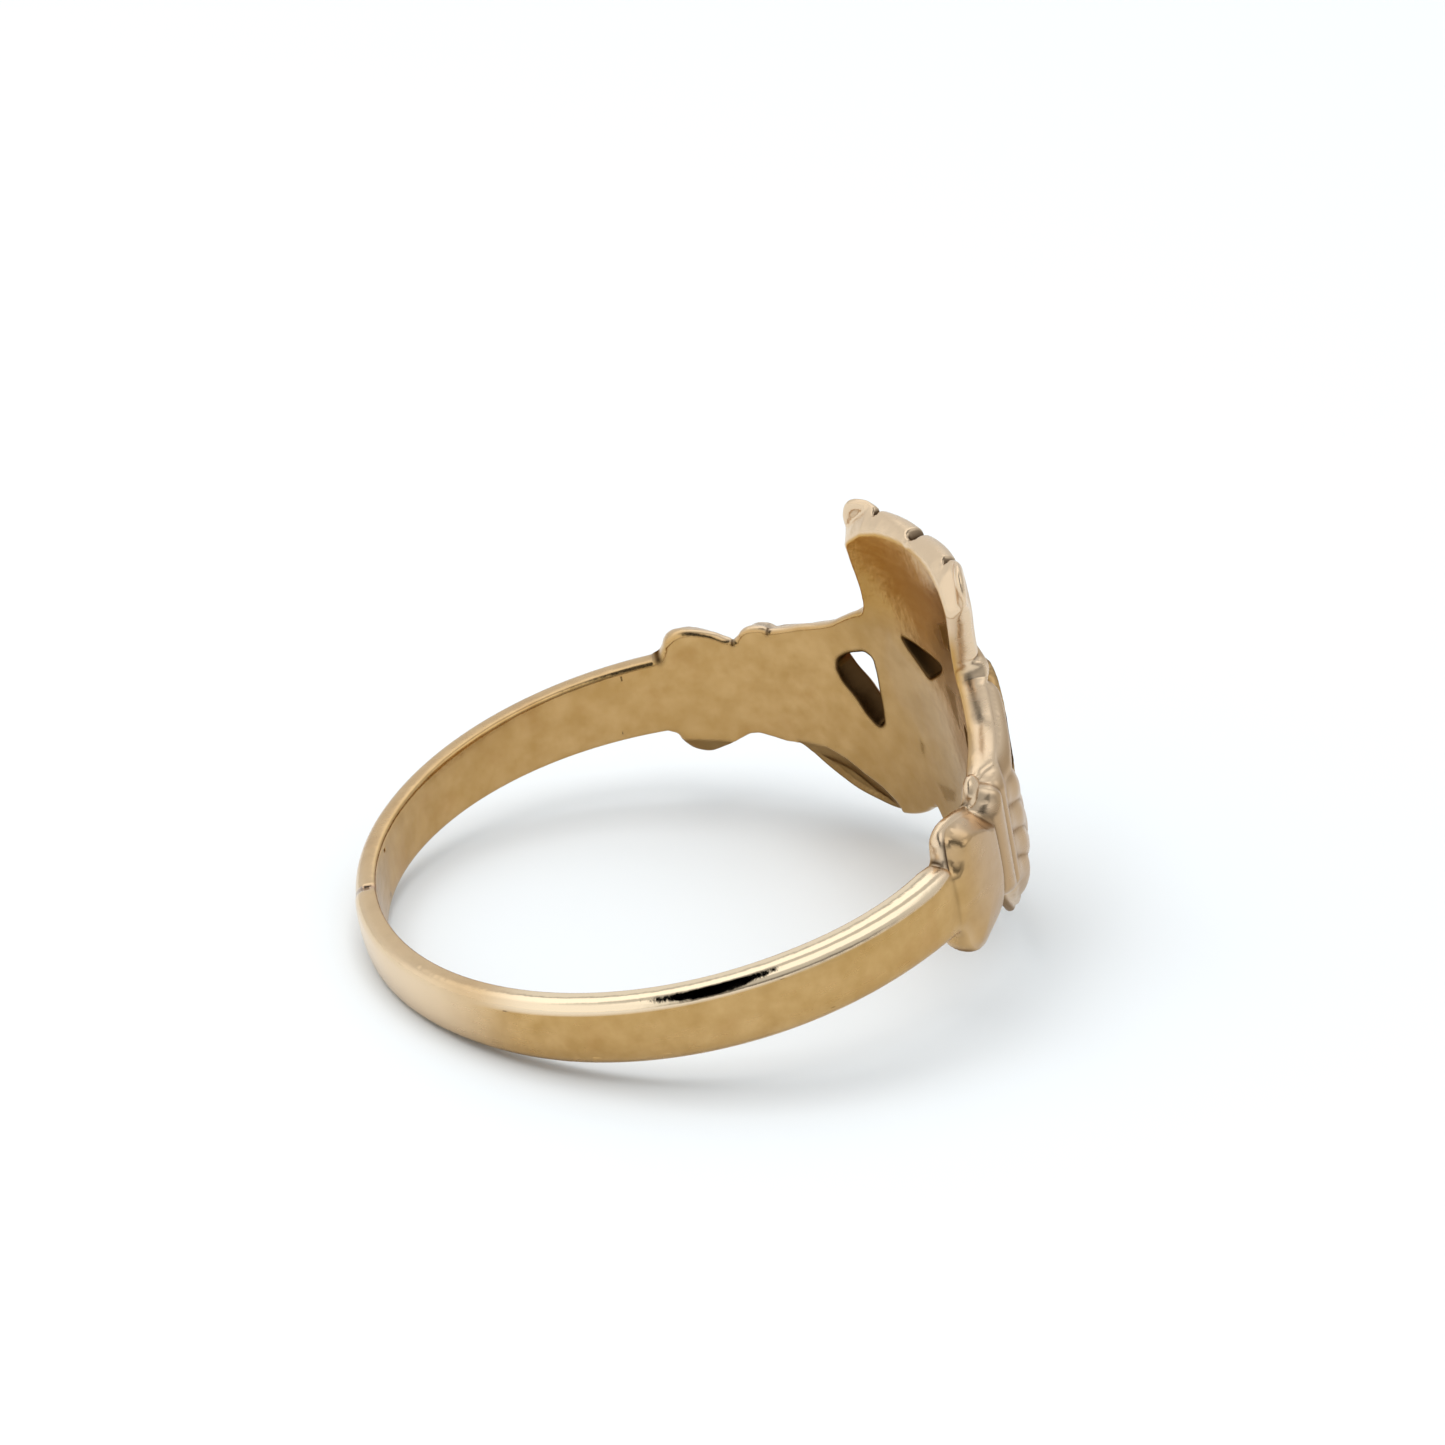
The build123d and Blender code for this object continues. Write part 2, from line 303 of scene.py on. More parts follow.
# Cuts between the crown's points: their depth, the half widths of the side ones and the middle one, from
# full to gone, and the heights over which they set in
cut_depth, side_cut, middle_cut, cut_start = 0.3, (0.11, 0.19), (0.19, 0.28), (5.9, 6.3)

# Bead on the near wrist's upper edge: degrees, width, and height
bead_angle, bead_width, bead_height = -43.8, 1.7, 0.22

# Bevels of the inside: slope and depth below the hands, ease and depth in the crown, depth at the near cuff
hand_slope, hand_depth = 0.42, 0.3
crown_ease, crown_depth = 0.25, 0.6
cuff_worn = 0.06

# Wear and painted highlight, as (start, end) in degrees round from the heart past the far hand: where the
# shank's near edge is pale with a painted highlight, where its polish and that highlight end, and where its
# back is pale with a painted highlight
near_pale, near_shine_end, back_pale = ((205, 222), (318, 328)), (293, 297), ((140, 160), (190, 218))

# How pale (a painted highlight) and how polished the shank's back is, how pale the patch of painted
# reflection is,
# and how dark the painted shade is: a painted dark reflection on the bevels below the hands, and shade in
# the notches of the hands' upper edges, in the creases and on the walls of the openings
back_paleness, back_shine, reflection_patch_paleness = 0.85, 0.45, 0.12
bevel_shade, notch_shade, crease_shade, opening_shade = 0.52, 0.9, 0.9, 0.95


def crown_tops():
    """Tops of the two middle crown points: half an ellipse each, from the side notches to the middle one."""
    turn = np.linspace(0, np.pi, 30)[1:]
    share = (1 - np.cos(turn)) / 2
    foot = side_notch_top + (middle_notch_top - side_notch_top) * share
    rise = (point_top - side_notch_top) * np.sin(turn)
    half = on_map(np.stack([crown_notch * (1 - share), foot + rise], axis=1))
    return np.concatenate([half, mirrored(half)[1:]])


def edge_line(hand, middle, side):
    """One long edge of the casting, all the way round: shank, far hand, middle, near hand and shank again.

    It goes a little past the shank's back at both ends, and the near hand's last points are moved to the
    worn shank.
    """
    spare = girth / 2 + 1
    near = near_hand(hand)
    near[-2:, 1] += (shank_edge(near[-1:, 0], side)[0] - near[-1, 1]) * np.array([0.8, 1])
    runs = np.linspace(spare, hand[0, 0], 400)[:-1], np.linspace(near[-1, 0], -spare, 400)[1:]
    shank, back = (np.stack([at, shank_edge(at, side)], axis=1) for at in runs)
    return np.concatenate([shank, smooth_line(hand), *middle, smooth_line(near), back])


crown_line = [smooth_line(crown_side), crown_tops(), smooth_line(mirrored(crown_side))]
upper_edge = edge_line(hand_above, crown_line, 1)
lower_edge = edge_line(hand_below, [smooth_line(heart_tip), smooth_line(mirrored(heart_tip))], -1)
side_hole = smooth_line(side_opening)
cleft_hole = np.concatenate([smooth_line(cleft_sill), smooth_line(cleft_lobes)])
heart_line = smooth_line(np.concatenate([mirrored(heart_half)[:-1], heart_half]))
outer_lines = [upper_edge, lower_edge]
opening_lines = [side_hole, near_hand(side_hole), cleft_hole]


def nearest(points, lines, reach=3.0):
    """Distance from each point to the lines, the nearest place on them, and whether the point is inside.

    Inside means that an odd number of the lines' pieces lie straight above the point. The distance to a
    piece from a to b is that to a + t (b - a), where t is the point's share along the piece, kept from 0
    to 1. Points go block by block, and only with pieces that come within the reach along the map; a block
    without any is out of reach.
    """
    starts = np.concatenate([line[:-1] for line in lines])
    ends = np.concatenate([line[1:] for line in lines])
    low, high = np.minimum(starts, ends)[:, 0], np.maximum(starts, ends)[:, 0]
    distance = np.full(len(points), reach)
    place = np.array(points)
    inside = np.zeros(len(points), bool)
    for start in range(0, len(points), 2000):
        part = slice(start, start + 2000)
        p = points[part, None, :]
        close = (high > p[:, :, 0].min() - reach) & (low < p[:, :, 0].max() + reach)
        if close.any():
            a, b = starts[close], ends[close]
            along = b - a
            length = np.maximum((along ** 2).sum(1), 1e-12)
            t = np.clip(((p - a) * along).sum(2) / length, 0, 1)
            q = a + t[:, :, None] * along
            gap = ((p - q) ** 2).sum(2)
            best = gap.argmin(1)
            rows = np.arange(len(best))
            distance[part] = np.sqrt(gap[rows, best])
            place[part] = q[rows, best]
            spans = (a[:, 0] > p[:, :, 0]) != (b[:, 0] > p[:, :, 0])
            wide = np.where(np.abs(along[:, 0]) < 1e-12, 1e-12, along[:, 0])
            above = a[:, 1] + (p[:, :, 0] - a[:, 0]) / wide * along[:, 1] > p[:, :, 1]
            inside[part] = (spans & above).sum(1) % 2 == 1
    return distance, place, inside


def edge_round(points):
    """Edge rounding of the casting's outer edge at each place: softer on the shank and the crown's top."""
    around, height = points.T
    shank = (shank_round - head_round) * ramp(np.abs(around) / per_degree, 58, 68)
    crown = (crown_round - head_round) * ramp(height, 4.6, 5.6)
    return head_round + shank + crown


def casting_edge(points):
    """The casting's edge at each point: its distance and nearest place, whether the point is in the metal,
    the rounding there, the distance to the outer edge alone, and whether an opening is nearer than that.
    """
    outer, outer_place, within = nearest(points, outer_lines)
    hole, hole_place, pierced = nearest(points, opening_lines)
    at_hole = hole < outer
    distance = np.where(at_hole, hole, outer)
    place = np.where(at_hole[:, None], hole_place, outer_place)
    rounding = np.where(at_hole, opening_round, edge_round(points))
    return distance, place, within & ~pierced, rounding, outer, at_hole


def grid_columns():
    """Places of the grid's columns round the finger, close in the head and wide apart along the shank.

    The spacing is a smooth function of the distance from the heart. Its inverse, summed round the finger,
    gives each place a count, and the columns lie where that count is whole.
    """
    at = np.linspace(-girth / 2, girth / 2, 4001)
    spacing = blend(fine, coarse, ramp(np.abs(at), head_reach, head_reach + 4))
    count = np.concatenate([[0], np.cumsum((1 / spacing[1:] + 1 / spacing[:-1]) / 2 * np.diff(at))])
    n = int(round(count[-1]))
    return np.interp(np.arange(n) / n * count[-1], count, at)


def ridge(points, line, half):
    """Square of the distance from a finger's or thumb's middle line, in half widths."""
    return (nearest(points, [smooth_line(line, 0.2)])[0] / half) ** 2


def palm_relief(angle, height, points):
    """Wall of the hand: a domed palm, and ridges with round tops for the fingers and the thumb.

    A ridge's height falls as the square of the distance from its middle line, so that two ridges meet in a
    crease. Low fingers droop, and towards the wrist all ridges sink into the back of the hand.
    """
    back = blend(palm_floor, hand_wall, ramp(angle, *palm_end))
    swell = sum(rise * bump(angle - place, width) for place, width, rise in knuckles)
    droop = finger_droop * np.clip(-height - 1.5, 0, 3)
    wall = back
    for line in finger_lines:
        off = ridge(points, line, finger_half)
        crest = finger_wall + swell - finger_fall * off - droop
        wall = np.maximum(wall, blend(crest, back - back_fall * off, ramp(angle, *finger_end)))
    off = ridge(points, thumb_line, thumb_half)
    crest = thumb_wall - thumb_fall * off
    return np.maximum(wall, blend(crest, back - back_fall * off, ramp(angle, *thumb_end)))


def crown_cuts(around, height):
    """1 in the three small cuts at the outline's notches, on the outer half of the crown's top, else 0."""
    side = 1 - ramp(np.abs(np.abs(around) / per_degree - crown_notch) * per_degree, *side_cut)
    middle = 1 - ramp(np.abs(around), *middle_cut)
    return np.maximum(side, middle) * ramp(height, *cut_start)


def crown_relief(around, height):
    """Wall of the crown: a round band at its foot, and petals above it that swell towards the points.

    Grooves part the petals, and end in small cuts at the notches of the outline.
    """
    half = crown_half + crown_gain * (height - crown_foot) / crown_rise
    share = around / half
    petal = np.clip(np.searchsorted(petal_sides, share) - 1, 0, len(petal_sides) - 2)
    left, right = petal_sides[petal], petal_sides[petal + 1]
    across = (2 * share - left - right) / (right - left)
    swell = ramp(height, crown_band_top - 0.3, 4.6) * (1 - 0.6 * ramp(height, 5.6, 6.3))
    wall = crown_wall - petal_fall * np.clip(across, -1, 1) ** 2 * swell
    wall = wall + point_swell * bump(height - 5.6, 0.7)
    for side in petal_sides[1:-1]:
        beside = np.abs(share - side) * half
        wall = wall - petal_groove * ramp(height, crown_band_top, 4.4) * bump(beside, 0.12)
    band_middle, band_half = (crown_foot + crown_band_top) / 2, (crown_band_top - crown_foot) / 2
    roll = np.sqrt(np.clip(1 - ((height - band_middle) / band_half) ** 2, 0, 1))
    band = crown_wall - band_low + (crown_band_wall - crown_wall + band_low) * roll
    wall = np.where(roll > 0, np.maximum(band, wall - 0.1), wall)
    return wall - band_groove * bump(height - crown_band_top, 0.07)


def shank_relief(around, height, angle, to_edge):
    """Wall of the shank: softly domed across, lower close to its edges, and stepped at the sizing joint."""
    wall = wall_side + (wall_side - wall_back) * np.cos(np.radians(angle)) + 0.5 * joint_rise(around)
    wall = wall * (1 - camber * np.clip(height / shank_half(around), -1, 1) ** 2)
    return wall - shoulder * (1 - dome(to_edge / shoulder_reach))


def cuff_relief(height, angle, to_edge):
    """Wall of a cuff: a flat chamfer along its upper edge, wider to the front, and a round lower edge."""
    beyond = np.maximum(to_edge - head_round, 0)
    facet = facet_back + facet_gain * (1 - ramp(angle, 50, 61))
    chamfer = np.minimum(facet_foot + (1 - facet_foot) * beyond / facet, 1.0)
    upper = chamfer + (cuff_wall - 1) * dome(beyond / cuff_reach)
    return np.where(height > 0, upper, blend(cuff_edge, cuff_wall, dome(to_edge / low_cuff_reach)))


def heart_relief(height, to_heart, to_edge):
    """Wall of the heart: a dome with upright sides, which sinks at its point and at the casting's edge."""
    wall = blend(heart_edge, heart_wall, dome(to_heart / heart_reach))
    wall = wall - heart_sink * ramp(-height, 3.0, 5.1)
    return np.minimum(wall, edge_wall + heart_side * dome(to_edge / heart_side_reach))


def outer_wall(points, to_edge):
    """Wall of the whole casting at each place: shank, cuff, hand, crown and heart, each over its own ground.

    The wall sinks beside the openings, and a groove runs round the heart.
    """
    around, height = points.T
    far_side = on_far_hand(points)
    angle = far_side[:, 0] / per_degree
    shank = shank_relief(around, height, angle, to_edge)
    wall = blend(shank, cuff_relief(height, angle, to_edge), 1 - ramp(angle, *cuff_end))
    edge = np.where(around > 0, far_hand_edge, near_hand_edge * (1 - ramp(angle, 37, 41)))
    edge = edge_wall + edge * (height > 0)
    rise = dome(np.maximum(to_edge - head_round, 0) / hand_reach)
    hand = blend(edge, palm_relief(angle, height, far_side), rise)
    wall = blend(wall, hand, 1 - ramp(angle, *hand_end))
    for place, width, wave in hand_waves:
        wall = wall + wave * bump(angle - place, width)
    to_hole, _, _ = nearest(points, opening_lines)
    wall = wall + opening_edge * (1 - dome(to_hole / opening_reach))
    crown = crown_relief(around, height) - crown_corner * ramp(angle, 14, 20) * ramp(height, 4.9, 5.8)
    crown = edge_wall + crown_edge + (crown - edge_wall - crown_edge) * dome(to_edge / crown_reach)
    crown_share = ramp(height, crown_foot - 0.05, crown_foot + 0.05) * (1 - ramp(angle, 19.8, 21.5))
    wall = blend(wall, crown, crown_share)
    to_heart, _, in_heart = nearest(points, [heart_line])
    signed = np.where(in_heart, to_heart, -to_heart)
    wall = blend(wall, heart_relief(height, to_heart, to_edge), ramp(signed, -0.06, 0.06))
    return wall - heart_groove * bump(signed + 0.1, 0.08) * (angle < 40)


# Inner bevels: the line below which the hand's inside slopes away, and the one above which the crown's does
hand_bevel_line = on_map([(70, -3), (66, -1.5), (62, -1.62), (56, -1.8), (50, -2.1), (42, -2.1),
                          (40.5, -1.86), (34.5, -2.0), (30.5, -2.3), (26.5, -2.74), (22.5, -3.08),
                          (19, -3.5), (16, -4.4)])
crown_bevel_line = on_map([(-21, 5.1), (-19, 5.42), (-15.5, 5.78), (-10.5, 6.02), (-5.5, 6.13), (0, 6.17),
                           (5.5, 6.13), (10.5, 6.02), (15.5, 5.78), (19, 5.42), (21, 5.1)])


def hand_bevel(far_side):
    """Height of the hand's bevel line, at places on the far hand."""
    return np.interp(far_side[:, 0], *hand_bevel_line[::-1].T)


def inner_wall(points, to_edge):
    """How far the inside stands back from the finger hole: at the bevels below the hands and inside the
    crown's top, and where wear has rounded the upper edge of the near cuff.
    """
    around, height = points.T
    far_side = on_far_hand(points)
    angle = far_side[:, 0] / per_degree
    below = np.clip(hand_bevel(far_side) - height, 0, 1) * (1 - ramp(angle, *bevel_end))
    above = np.clip(height - np.interp(around, *crown_bevel_line.T), 0, 2)
    near_cuff = (around < 0) * stretch(angle, (36, 46), bevel_end)
    worn = cuff_worn * near_cuff * (1 - ramp(to_edge, 0.1, 0.6)) * (height > 0)
    crown = np.minimum(above ** 2 / (above + crown_ease), crown_depth)
    return np.minimum(hand_slope * below, hand_depth) + crown + worn


def tidy_cells(kept, rank):
    """Cells without pinched corners or lone spikes, so that the skin's edge is one clean line."""
    for _ in range(4):
        near = sum(np.roll(kept, s, 0).astype(int) for s in (-1, 1))
        near[:, 1:] += kept[:, :-1]
        near[:, :-1] += kept[:, 1:]
        kept = (kept & (near > 1)) | (near > 2)
        other = np.roll(kept, -1, 0)
        rank_other = np.roll(rank, -1, 0)
        falling = kept[:, :-1] & other[:, 1:] & ~kept[:, 1:] & ~other[:, :-1]
        rising = ~kept[:, :-1] & ~other[:, 1:] & kept[:, 1:] & other[:, :-1]
        i, j = np.nonzero(falling)
        up = rank[i, j + 1] > rank_other[i, j]
        kept[np.where(up, i, (i + 1) % len(kept)), np.where(up, j + 1, j)] = True
        i, j = np.nonzero(rising)
        up = rank_other[i, j + 1] > rank[i, j]
        kept[np.where(up, (i + 1) % len(kept), i), np.where(up, j + 1, j)] = True
    return kept


def roll_up(around, height, radius):
    """Places on the map at a radius, rolled round the finger and laid down as the solid lies, in metres.

    The finger's axis is the bore's; the head lies towards +X, square to it.
    """
    angle = around / finger_r
    head_way = np.array([finger_axis[2], 0, -finger_axis[0]])
    out = np.cos(angle)[..., None] * head_way + np.sin(angle)[..., None] * np.array([0, 1, 0])
    return (finger_centre + radius[..., None] * out + height[..., None] * finger_axis) * mm


def metal_grid():
    """The grid on the map, and which of its cells lie in the metal, inside the edge by the rounding."""
    columns = grid_columns()
    rows = np.linspace(low_row, high_row, int(round((high_row - low_row) / fine)) + 1)
    grid = np.stack(np.meshgrid(columns, rows, indexing="ij"), axis=2)
    following = np.roll(grid, -1, 0)
    following[-1, :, 0] += girth
    middles = (grid[:, :-1] + grid[:, 1:] + following[:, :-1] + following[:, 1:]) / 4
    distance, _, metal, rounding, _, _ = casting_edge(middles.reshape(-1, 2))
    rank = np.where(metal, distance - rounding, -distance).reshape(len(columns), len(rows) - 1)
    return grid, tidy_cells(rank > 0, rank)


def drawn_to_edge(grid, used, border):
    """The grid's used corners, with those on its border moved onto the line where the rim starts.

    That line lies inside the casting's edge by the rounding. The moves fade out into the grid.
    """
    target = grid[border]
    for _ in range(2):
        distance, place, metal, rounding, _, _ = casting_edge(target)
        inward = (target - place) / np.maximum(distance, 1e-6)[:, None] * np.where(metal, 1, -1)[:, None]
        target = place + inward * rounding[:, None]
    move = np.zeros_like(grid)
    move[border] = target - grid[border]
    for _ in range(8):
        spread = np.roll(move, 1, 0) + np.roll(move, -1, 0)
        spread[:, 1:] += move[:, :-1]
        spread[:, :-1] += move[:, 1:]
        spread *= 0.22
        spread[border] = move[border]
        move = spread * used[:, :, None]
    return (grid + move)[used]


def hollows(wall, used):
    """How much thinner the wall is at each used corner of the grid than it is around there on average."""
    total, weight = np.zeros(used.shape), used.astype(float)
    total[used] = wall
    for _ in range(3):
        for axis in (0, 1):
            total, weight = (a + np.roll(a, 1, axis) + np.roll(a, -1, axis) for a in (total, weight))
    return total[used] / np.maximum(weight[used], 1e-9) - wall


def skin_faces(places, kept, number, edge_index):
    """Triangles of the outside, of the inside, and of the rim's strips from one to the other.

    The strips follow the border: the sides of kept cells that have no kept cell beyond them.
    """
    count, border_count = number.max() + 1, len(edge_index)
    i, j = np.nonzero(kept)
    after = (i + 1) % len(kept)
    quads = np.stack([number[i, j], number[after, j], number[after, j + 1], number[i, j + 1]], axis=1)
    faces = [split(places, quads), split(places, quads[:, ::-1] + count)]
    gone = np.pad(~kept, ((0, 0), (1, 1)), constant_values=True)
    sides = [(gone[i, j], 0, 1), (gone[after, j + 1], 1, 2),
             (gone[i, j + 2], 2, 3), (gone[i - 1, j + 1], 3, 0)]
    starts = np.concatenate([quads[is_open, first] for is_open, first, _ in sides])
    ends = np.concatenate([quads[is_open, last] for is_open, _, last in sides])
    chain = np.full(count, -1)
    chain[edge_index] = np.arange(border_count)
    a, b = chain[starts], chain[ends]
    rim_loops = 2 * count + np.arange((rim_steps - 1) * border_count).reshape(rim_steps - 1, border_count)
    loops = [edge_index, *rim_loops, edge_index + count]
    for upper, lower in zip(loops, loops[1:]):
        faces.append(split(places, np.stack([upper[b], upper[a], lower[a], lower[b]], axis=1)))
    return np.concatenate(faces)


def ring_skin():
    """The whole ring as one closed skin of triangles, with its places on the map and its surface's values.

    The kept grid makes the outside at the finger's radius plus the wall, and the inside at that radius
    plus the bevels. Between them, along the border, runs a rim as wide as the rounding and as high as the
    wall: half an ellipse, which leaves the inside at its slope there, but on the shank the inner corner is
    squarer, |x|^5 + |y|^5 = 1. The bead at the near wrist bulges up, and the crown's cuts lower the rim's
    outer part.
    """
    grid, kept = metal_grid()
    around_corner = np.zeros(grid.shape[:2], int)
    for shift in (0, 1):
        cells = np.roll(kept, shift, 0)
        around_corner[:, :-1] += cells
        around_corner[:, 1:] += cells
    used, border = around_corner > 0, (around_corner > 0) & (around_corner < 4)
    flat = drawn_to_edge(grid, used, border)
    number = np.full(used.shape, -1)
    number[used] = np.arange(len(flat))
    edge_index = number[border]

    distance, place, _, rounding, to_edge, at_hole = casting_edge(flat)
    wall = outer_wall(flat, to_edge)
    bevel = inner_wall(flat, to_edge)
    inset = np.minimum(bevel, wall - least_wall)

    edge, reach = flat[edge_index], rounding[edge_index]
    outward = place[edge_index] - edge
    outward /= np.maximum(np.linalg.norm(outward, axis=1), 1e-6)[:, None]
    angle = edge[:, 0] / per_degree
    turn = np.linspace(0, np.pi, rim_steps + 1)[1:-1, None]
    power = np.where(turn > np.pi / 2, blend(corner_power, 1, 1 - ramp(np.abs(angle), 61, 66)), 1)
    across = np.sign(np.cos(turn)) * np.abs(np.cos(turn)) ** power
    middle = finger_r + 0.5 * (wall + inset)[edge_index]
    half = 0.5 * (wall - inset)[edge_index]
    ahead = inner_wall(edge + slope_step * outward, to_edge[edge_index] - slope_step)
    spare = np.clip((wall - least_wall - bevel) / 0.1, 0, 1)[edge_index]
    slope = np.clip((ahead - bevel[edge_index]) / slope_step, 0, 1) * spare
    rim_radius = middle + half * across + slope * reach * np.sin(turn) * ramp(turn, 1.2, np.pi)
    bead = bead_height * bump(angle - bead_angle, bead_width) * (edge[:, 1] > 0)
    rim_flat = edge + outward * (reach * np.sin(turn) ** power + bead * np.sin(turn) ** 2)[:, :, None]
    rim_share = np.repeat(turn / np.pi, len(edge), axis=1)
    cut = crown_cuts(flat[:, 0], flat[:, 1])
    rim_cut = cut[edge_index] * (1 - ramp(rim_share, 0.55, 0.75))
    rim_flat[:, :, 1] -= cut_depth * rim_cut
    places = np.concatenate([
        roll_up(flat[:, 0], flat[:, 1] - cut_depth * cut, finger_r + wall),
        roll_up(flat[:, 0], flat[:, 1], finger_r + inset),
        roll_up(rim_flat[:, :, 0].ravel(), rim_flat[:, :, 1].ravel(), rim_radius.ravel())])

    nothing, everything = np.zeros(len(flat)), np.ones(len(flat))
    share = [nothing, everything, rim_share.ravel()]
    to_rim = distance - rounding
    # Painted shade in the hollows of the relief and in the crown's cuts
    hollow = np.clip(hollows(wall, used) / 0.08, 0, crease_shade) * ramp(to_rim, 0.08, 0.22)
    crease = [np.maximum(hollow, ramp(cut, 0.05, 0.3)), nothing, ramp(rim_cut.ravel(), 0.05, 0.3)]
    # Painted shade beside the openings and on their walls
    by_hole = bump(to_rim, 0.05) * at_hole
    hole = [by_hole, by_hole, np.tile(at_hole[edge_index].astype(float), rim_steps - 1)]
    close = [bump(to_rim, 0.16) * ~at_hole, ramp(inset, 0, 0.03) * (flat[:, 1] > 5), 1 - hole[2]]
    share, crease, hole, close = (np.concatenate(parts) for parts in (share, crease, hole, close))
    everywhere = np.concatenate([flat, flat, rim_flat.reshape(-1, 2)])
    values = surface_values(everywhere, share, close)
    # Painted shade from the creases and the openings joins the rest
    values["painted_shade"] = np.maximum.reduce([values["painted_shade"], crease, opening_shade * hole])
    return places, skin_faces(places, kept, number, edge_index), everywhere, values


def surface_values(points, share, close):
    """How pale, polished and darkened the metal is at each place, and how far that is inside, head or joint.

    The share runs from 0 outside to 1 inside over the rim, and close is 1 by an outer edge. The edges of
    the head and of the near shank, the shank's back and a patch inside are pale: the edges with wear and,
    above, with a painted highlight, the near shank's edge and the back with a painted highlight, and the
    patch with a painted reflection. The near shank's upper edge is polished, and its colour there is a
    painted highlight. Painted shade lies in the marks, as a painted dark reflection on the bevels below the
    hands, behind the cuffs, and in two notches of each hand's top.
    """
    around, height = points.T
    turned = np.mod(around / per_degree, 360)
    far_side = on_far_hand(points)
    angle = far_side[:, 0] / per_degree
    on_rim = (share > 0) & (share < 1)
    head = 1 - ramp(np.abs(around) / per_degree, 50, 66)
    upper = ramp(height, 0, 0.4)
    crown = ramp(height, 4, 5)

    # Pale edges: wear, with a painted highlight along the near shank's upper edge and on upper edges more
    # than lower ones
    front = stretch(turned, *near_pale) * upper
    rim_pale = (1 - ramp(share, 0.5, 0.85) * (1 - crown)) * (0.35 + 0.65 * np.maximum(front, head))
    pale = np.where(on_rim, close * rim_pale * (0.2 + 0.8 * np.maximum(upper, 0.3 * head)), close * head)
    # A paler patch inside the heart: a painted reflection of the bright floor
    patch_in, _, in_patch = nearest(points, [pale_reflection_patch])
    pale = np.where(share == 1, close * crown + reflection_patch_paleness * in_patch * ramp(patch_in, 0, 0.3), pale)
    # The shank's back is paler, a painted highlight, less so low down
    back = stretch(turned, *back_pale) * (1 - share)
    pale = np.maximum(pale, back_paleness * back * (1 - 0.5 * ramp(-height, 0.2, 0.8)))
    # Polish on the near shank's upper edge and on the back: lower roughness, and a painted highlight in its
    # paler colour
    front = front * (1 - ramp(turned, *near_shine_end))
    shine = np.maximum(front * on_rim * ramp(share, 0, 0.15), back_shine * back)

    # Painted dark reflection on the bevels below the hands, which mirror the shadowed floor
    below = ramp(hand_bevel(far_side) - height, 0, 0.1) * (1 - ramp(angle, 64, 67))
    thin = bevel_shade * ramp(share, 0.05, 0.3) * below
    # Painted shade at the foot of each cuff, on its back face, and in the notches at the wrist and the arch
    foot = bump(height - 1.28, 0.12) * bump(angle - 65.9, 0.9)
    cuff_back = bump(share - 0.08, 0.1) * stretch(angle, (62.3, 63.3), (64.8, 65.6)) * upper
    notch = notch_shade * bump(angle - 50.3, 0.5) * upper * ramp(share, 0.3, 0.6)
    arch = notch_shade * bump(angle - 42.6, 0.35) * upper
    painted_shade = np.maximum(thin, on_rim * np.maximum.reduce([foot, cuff_back, notch, arch]))
    # Painted shade in the marks inside the head
    for line, level in marks:
        mark_in, _, in_mark = nearest(points, [line])
        painted_shade = np.maximum(painted_shade, level * in_mark * ramp(mark_in, 0, 0.2) * (share == 1))
    return {"pale": pale, "shine": shine, "painted_shade": painted_shade, "inside": share,
            "head": head * (0.35 + 0.65 * ramp(angle, 15, 24)), "joint": bump(turned - joint_angle, 0.45)}


def split(places, quads):
    """Two triangles for each quad, along its shorter diagonal."""
    a, b, c, d = (places[quads[:, k]] for k in range(4))
    first = np.linalg.norm(a - c, axis=1) <= np.linalg.norm(b - d, axis=1)
    one = np.where(first[:, None], quads[:, [0, 1, 2]], quads[:, [0, 1, 3]])
    two = np.where(first[:, None], quads[:, [0, 2, 3]], quads[:, [1, 2, 3]])
    return np.concatenate([one, two])


def mesh_object(name, places, triangles, flat, values):
    """A smooth mesh from whole arrays, with the map as its UV in millimetres and values at its corners."""
    mesh = bpy.data.meshes.new(name)
    mesh.vertices.add(len(places))
    mesh.vertices.foreach_set("co", places.astype(np.float32).ravel())
    mesh.loops.add(triangles.size)
    mesh.loops.foreach_set("vertex_index", triangles.astype(np.int32).ravel())
    mesh.polygons.add(len(triangles))
    mesh.polygons.foreach_set("loop_start", np.arange(0, triangles.size, 3, dtype=np.int32))
    mesh.update(calc_edges=True)
    mesh.polygons.foreach_set("use_smooth", np.ones(len(triangles), bool))
    corners = flat[triangles]
    span = corners[:, :, 0].max(1, keepdims=True) - corners[:, :, 0]
    corners[:, :, 0] += girth * (span > girth / 2)
    mesh.uv_layers.new(name="map").data.foreach_set("uv", corners.astype(np.float32).ravel())
    for key, value in values.items():
        mesh.attributes.new(key, "FLOAT", "POINT").data.foreach_set("value", value.astype(np.float32))
    made = bpy.data.objects.new(name, mesh)
    bpy.context.scene.collection.objects.link(made)
    return made


